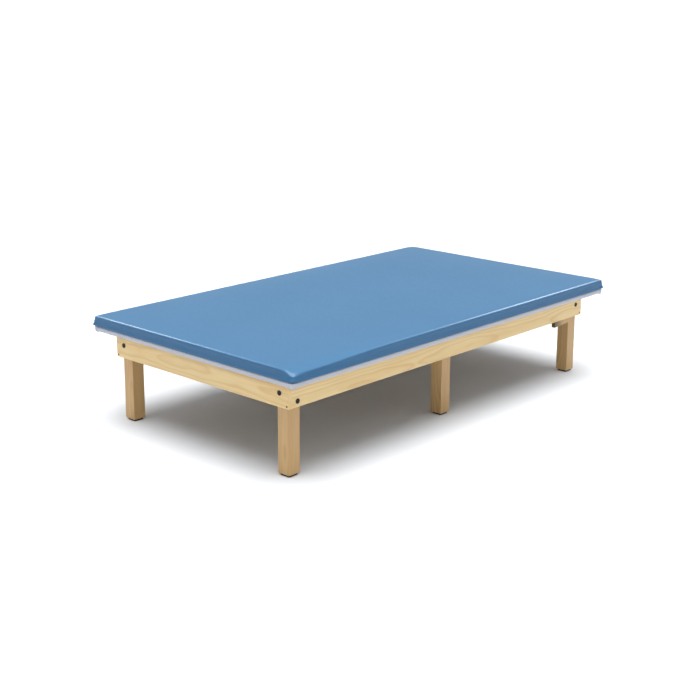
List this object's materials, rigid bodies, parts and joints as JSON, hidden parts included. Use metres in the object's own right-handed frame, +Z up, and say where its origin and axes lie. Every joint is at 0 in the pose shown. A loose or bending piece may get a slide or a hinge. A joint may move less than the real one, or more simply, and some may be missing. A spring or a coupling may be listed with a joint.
{
  "type": "mat platform table",
  "caption": "Low wooden platform table with a thin vinyl-covered mat on a covered deck board, a pine rail frame and square legs on square rubber glides.",
  "frame": {"origin": "on the floor, below the middle of the platform", "axes": "+X along the length, +Y across to the back, +Z up"},
  "size_m": [2.134, 1.219, 0.47],
  "materials": {
    "blue_vinyl": "satin",
    "foam": "open cell foam",
    "black_fabric": "matt",
    "grey_vinyl": "satin",
    "plywood": "sanded",
    "pine": "clear lacquer",
    "black_rubber": "matt",
    "black_steel": "black oxide",
    "zinc_steel": "zinc plated"
  },
  "bodies": {
    "root": {"back_ledger": "pine", "back_rail": "pine", "barrel_nuts": "zinc_steel", "centre_beam": "pine", "cleat_screws": "zinc_steel", "deck_board": "plywood", "deck_corner_folds": "grey_vinyl", "deck_corner_tacks": "black_steel", "deck_covering": "grey_vinyl", "deck_screws": "zinc_steel", "deck_staples": "zinc_steel", "front_ledger": "pine", "front_rail": "pine", "front_right_cleat": "pine", "glide_back_left": "black_rubber", "glide_back_middle": "black_rubber", "glide_back_right": "black_rubber", "glide_front_left": "black_rubber", "glide_front_middle": "black_rubber", "glide_front_right": "black_rubber", "glide_screws": "zinc_steel", "ledger_screws": "zinc_steel", "left_end_rail": "pine", "left_ledger": "pine", "leg_back_left": "pine", "leg_back_middle": "pine", "leg_back_right": "pine", "leg_front_left": "pine", "leg_front_middle": "pine", "leg_front_right": "pine", "mat_base_panel": "black_fabric", "mat_cover": "blue_vinyl", "mat_foam": "foam", "mat_grip_strips": "black_fabric", "middle_leg_bolts": "zinc_steel", "middle_leg_nuts": "zinc_steel", "middle_leg_screws": "zinc_steel", "middle_leg_washers": "zinc_steel", "rail_bolts": "black_steel", "rail_end_screws": "black_steel", "right_end_rail": "pine", "right_ledger": "pine"}
  },
  "joints": []
}
